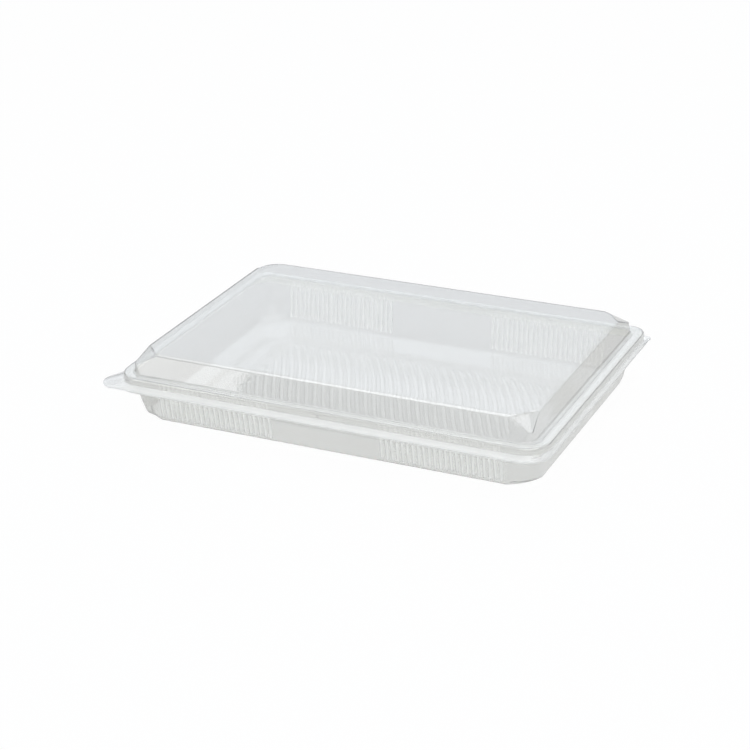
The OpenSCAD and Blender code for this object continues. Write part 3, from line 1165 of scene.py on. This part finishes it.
@dataclass
class HingeWeb:
    """The bent line of sheet that joins the tray's lip to the lid's lip along the back.

    Attributes:
        name: Name of the piece.
        sheet_t: Thickness of the sheet.
        bend_steps: Faces round the bend.
        length_steps: Faces along the hinge.
    """

    name: str = "hinge_web_bend"
    sheet_t: float = 0.4
    bend_steps: int = 16
    length_steps: int = 24

    def build(self) -> Object:
        """Spins the web's section about the hinge line and bends it between the two bodies.

        Returns:
            The piece that stands for the node hinge_web.
        """
        joint = frame["joints"][0]
        pivot = Vector(joint["pos_m"])
        low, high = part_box("hinge_web")
        outer_r = (high.z - low.z) / 2
        middle_r = outer_r - self.sheet_t * MM / 2
        bm = bmesh.new()
        start = bm.verts.new(Vector((low.x, pivot.y, pivot.z - middle_r)))
        bmesh.ops.spin(
            bm, geom=[start], cent=pivot, axis=(1, 0, 0), angle=math.pi, steps=self.bend_steps
        )
        edges = list(bm.edges)
        for _ in range(self.length_steps):
            geometry = bmesh.ops.extrude_edge_only(bm, edges=edges)["geom"]
            verts = [g for g in geometry if isinstance(g, BMVert)]
            edges = [
                g for g in geometry
                if isinstance(g, BMEdge) and all(v in verts for v in g.verts)
            ]
            bmesh.ops.translate(bm, verts=verts, vec=((high.x - low.x) / self.length_steps, 0, 0))
        bmesh.ops.recalc_face_normals(bm, faces=bm.faces)
        piece = make_object(self.name, bm, HINGE_FINISH.material())
        thicken(piece, self.sheet_t, 0.0)
        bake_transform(piece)
        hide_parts("hinge_web")
        return piece


@dataclass(frozen=True)
class Viewpoint:
    """Where the photograph was taken from, about a point above the resting plane.

    Attributes:
        azimuth: Degrees to the right of the front.
        elevation: Degrees above the horizon.
        roll: Degrees that the picture leans.
        distance: Millimetres from the aim.
        aim_z: Height of the aim.
        pan: Millimetres to the right that the camera stands off its line.
        rise: Millimetres upwards that the camera stands off its line.
        focal_px: Focal length in pixels of the photograph.
        image_px: Width of the photograph in pixels.
        sensor_mm: Width of the camera's sensor.
        far_m: Metres up to which the camera sees.
    """

    azimuth: float = 26.124
    elevation: float = 24.58
    roll: float = -1.931
    distance: float = 1026.4
    aim_z: float = 19.0
    pan: float = -5.85
    rise: float = -5.57
    focal_px: float = 1927.7
    image_px: float = 750.0
    sensor_mm: float = 36.0
    far_m: float = 20.0

    def build(self) -> Object:
        """Makes the scene's camera.

        Returns:
            The camera object.
        """
        roll = math.radians(self.roll)
        back = way_to(self.azimuth, self.elevation)
        level = way_to(self.azimuth + 90, 0)
        above = back.cross(level)
        right = level * math.cos(roll) + above * math.sin(roll)
        up = above * math.cos(roll) - level * math.sin(roll)
        data = bpy.data.cameras.new("photo_camera")
        data.sensor_width = self.sensor_mm
        data.lens = self.focal_px * self.sensor_mm / self.image_px
        data.clip_end = self.far_m
        camera = bpy.data.objects.new("photo_camera", data)
        bpy.context.scene.collection.objects.link(camera)
        aim = Vector((0, 0, self.aim_z))
        spot = aim + back * self.distance + right * self.pan + up * self.rise
        turn = Matrix((right, up, back)).transposed().to_4x4()
        camera.matrix_world = Matrix.Translation(spot * MM) @ turn
        bpy.context.scene.camera = camera
        return camera


@dataclass(frozen=True)
class SoftBox:
    """A large soft lamp that faces the middle of the object.

    Attributes:
        name: Name of the lamp.
        azimuth: Degrees to the right of the front.
        elevation: Degrees above the horizon.
        distance: Metres from the object.
        size: Metres along each side.
        power: Watts.
    """

    name: str
    azimuth: float
    elevation: float
    distance: float
    size: float
    power: float

    def build(self) -> Object:
        """Makes the lamp.

        Returns:
            The lamp object.
        """
        way = way_to(self.azimuth, self.elevation)
        data = bpy.data.lights.new(self.name, "AREA")
        data.shape = "SQUARE"
        data.size = self.size
        data.energy = self.power
        lamp = bpy.data.objects.new(self.name, data)
        lamp.location = way * self.distance
        lamp.rotation_mode = "QUATERNION"
        lamp.rotation_quaternion = way.to_track_quat("Z", "Y")
        bpy.context.scene.collection.objects.link(lamp)
        return lamp


@dataclass
class Studio:
    """White sweep of paper under soft light.

    Attributes:
        floor_size: Metres along each side of the paper.
        floor_drop: Metres that the paper lies under the resting plane.
        floor_colour: Colour of the paper.
        sky_colour: Colour of the room's light.
        sky_dark: Brightness of most of the room.
        sky_bright: Brightness of its brightest part.
        glow_from: How near a direction is to the bright one where it starts to brighten.
        horizon_dark: Brightness at the horizon.
        horizon: Heights between which the horizon brightens to the room.
        bright_way: Direction of the brightest part.
        lamps: The soft lamps.
    """

    floor_size: float = 12.0
    floor_drop: float = 0.0002
    floor_colour: str = "#f2f2f2"
    sky_colour: str = "#f3f8ff"
    sky_dark: float = 0.5
    sky_bright: float = 1.2
    glow_from: float = 0.45
    horizon_dark: float = 0.15
    horizon: tuple[float, float] = (0.1, 0.34)
    bright_way: tuple[float, float, float] = (-0.25, 0.8, 0.55)
    lamps: tuple[SoftBox, ...] = (
        SoftBox("top_softbox", -157, 67, 1.5, 1.2, 5.2),
        SoftBox("front_softbox", 40, 40, 2.0, 2.4, 18.0),
        SoftBox("left_window", -41, 19, 1.5, 0.55, 2.0),
    )

    def floor(self) -> Object:
        """Makes the paper floor, which the camera sees as white with the object's soft shadow, and
        which glows grey for rays through the clear sheet, as painted shade.

        Returns:
            The floor object.
        """
        bm = bmesh.new()
        bmesh.ops.create_grid(bm, x_segments=1, y_segments=1, size=self.floor_size / 2)
        # Matt uncoated paper scatters light evenly, so the sweep has no shine of its own.
        material = empty_material("matt_white_paper")
        floor = make_object("paper_floor", bm, material)
        floor.location.z = -self.floor_drop
        tree = material.node_tree
        paper = add_node(tree, "BsdfDiffuse", Color=linear_colour(self.floor_colour), Roughness=0.5)
        path = add_node(tree, "LightPath")
        share, level = 0.0, 1.0
        for ray in Ray:
            output, white_share, white_level = ray.value
            part = add_node(
                tree, "Math", {"operation": "MULTIPLY"}, in0=path.outputs[output],
                in1=white_share,
            )
            share = add_node(
                tree, "Math", {"operation": "MAXIMUM"}, in0=share, in1=part.outputs[0]
            ).outputs[0]
            # Painted shade: reflected and see-through rays get a dimmer glow than the camera's
            # white.
            painted_dim_glow = add_node(
                tree, "Math", {"operation": "MULTIPLY_ADD"}, in0=path.outputs[output],
                in1=white_level - 1, in2=1.0,
            )
            level = add_node(
                tree, "Math", {"operation": "MINIMUM"}, in0=level, in1=painted_dim_glow.outputs[0]
            ).outputs[0]
        white = add_node(tree, "Emission", Color=WHITE, Strength=level)
        mixed = add_node(
            tree, "MixShader", in0=share, in1=paper.outputs[0], in2=white.outputs[0]
        )
        add_node(tree, "OutputMaterial", Surface=mixed.outputs[0])
        return floor

    def sky(self) -> World:
        """Makes the room's light, which is plain white where the camera sees past the floor.

        Returns:
            The new world.
        """
        # A dim room with one bright side and a dark horizon gives the glossy sheet its reflections.
        world = bpy.data.worlds.new("studio_room")
        world.use_nodes = True
        tree = world.node_tree
        tree.nodes.clear()
        ray = add_node(tree, "TexCoord").outputs["Generated"]
        along = add_node(
            tree, "VectorMath", {"operation": "DOT_PRODUCT"}, in0=ray, in1=self.bright_way
        )
        glow = add_node(
            tree, "MapRange", {"interpolation_type": "SMOOTHSTEP"},
            Value=along.outputs["Value"], From_Min=self.glow_from, From_Max=1.0,
            To_Min=self.sky_dark, To_Max=self.sky_bright,
        )
        height = add_node(tree, "SeparateXYZ", Vector=ray).outputs["Z"]
        level = add_node(
            tree, "MapRange", {"interpolation_type": "SMOOTHSTEP"}, Value=height,
            From_Min=self.horizon[0], From_Max=self.horizon[1], To_Min=self.horizon_dark,
            To_Max=glow.outputs[0],
        )
        room = add_node(
            tree, "Background", Color=linear_colour(self.sky_colour),
            Strength=level.outputs[0],
        )
        white = add_node(tree, "Background", Color=WHITE, Strength=1.0)
        path = add_node(tree, "LightPath")
        mixed = add_node(
            tree, "MixShader", in0=path.outputs[Ray.CAMERA.value[0]], in1=room.outputs[0],
            in2=white.outputs[0],
        )
        add_node(tree, "OutputWorld", Surface=mixed.outputs[0])
        bpy.context.scene.world = world
        return world

    def build(self) -> None:
        """Builds the floor, the room and the lamps."""
        self.floor()
        self.sky()
        for lamp in self.lamps:
            lamp.build()


def triangle_count(piece: Object) -> int:
    """Counts the triangles of a piece with its modifiers.

    Args:
        piece: Object to count.

    Returns:
        Number of triangles.
    """
    mesh = piece.evaluated_get(bpy.context.evaluated_depsgraph_get()).data
    mesh.calc_loop_triangles()
    return len(mesh.loop_triangles)


def main() -> None:
    """Builds the pieces in order, then the studio and the camera."""
    logging.basicConfig(level=logging.INFO, format="%(name)s: %(message)s")
    bpy.context.scene.view_settings.view_transform = "Standard"
    rim = Rim()
    for maker in (Tray(rim=rim), Lid(rim=rim), HingeWeb()):
        piece = maker.build()
        log.info("%s: %d triangles", piece.name, triangle_count(piece))
    Studio().build()
    Viewpoint().build()


if __name__ == "__main__":
    main()
